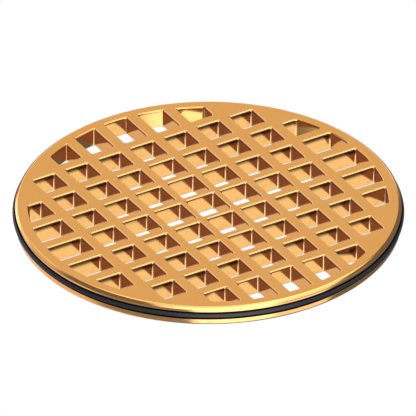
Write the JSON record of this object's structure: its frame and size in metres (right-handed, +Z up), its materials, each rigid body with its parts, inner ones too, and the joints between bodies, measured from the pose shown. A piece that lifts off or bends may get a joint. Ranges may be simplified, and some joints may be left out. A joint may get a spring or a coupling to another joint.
{
  "type": "floor drain grate",
  "caption": "Round brass floor drain grate with a lattice of square holes and a rubber O-ring in a groove round its rim, pushed into a drain throat.",
  "frame": {"origin": "centre of the underside, on the plate's axis; this point lies in the mouth of the middle hole", "axes": "+Z up, out of the walked-on face; X and Y along the bars between the holes"},
  "size_m": [0.1094, 0.1094, 0.0054],
  "materials": {
    "plate_brass": "polished, warm gold tone, edges lightly broken",
    "ring_rubber": "smooth black nitrile, slight sheen"
  },
  "bodies": {
    "root": {"grate_plate": "plate_brass", "o_ring": "ring_rubber"}
  },
  "joints": []
}
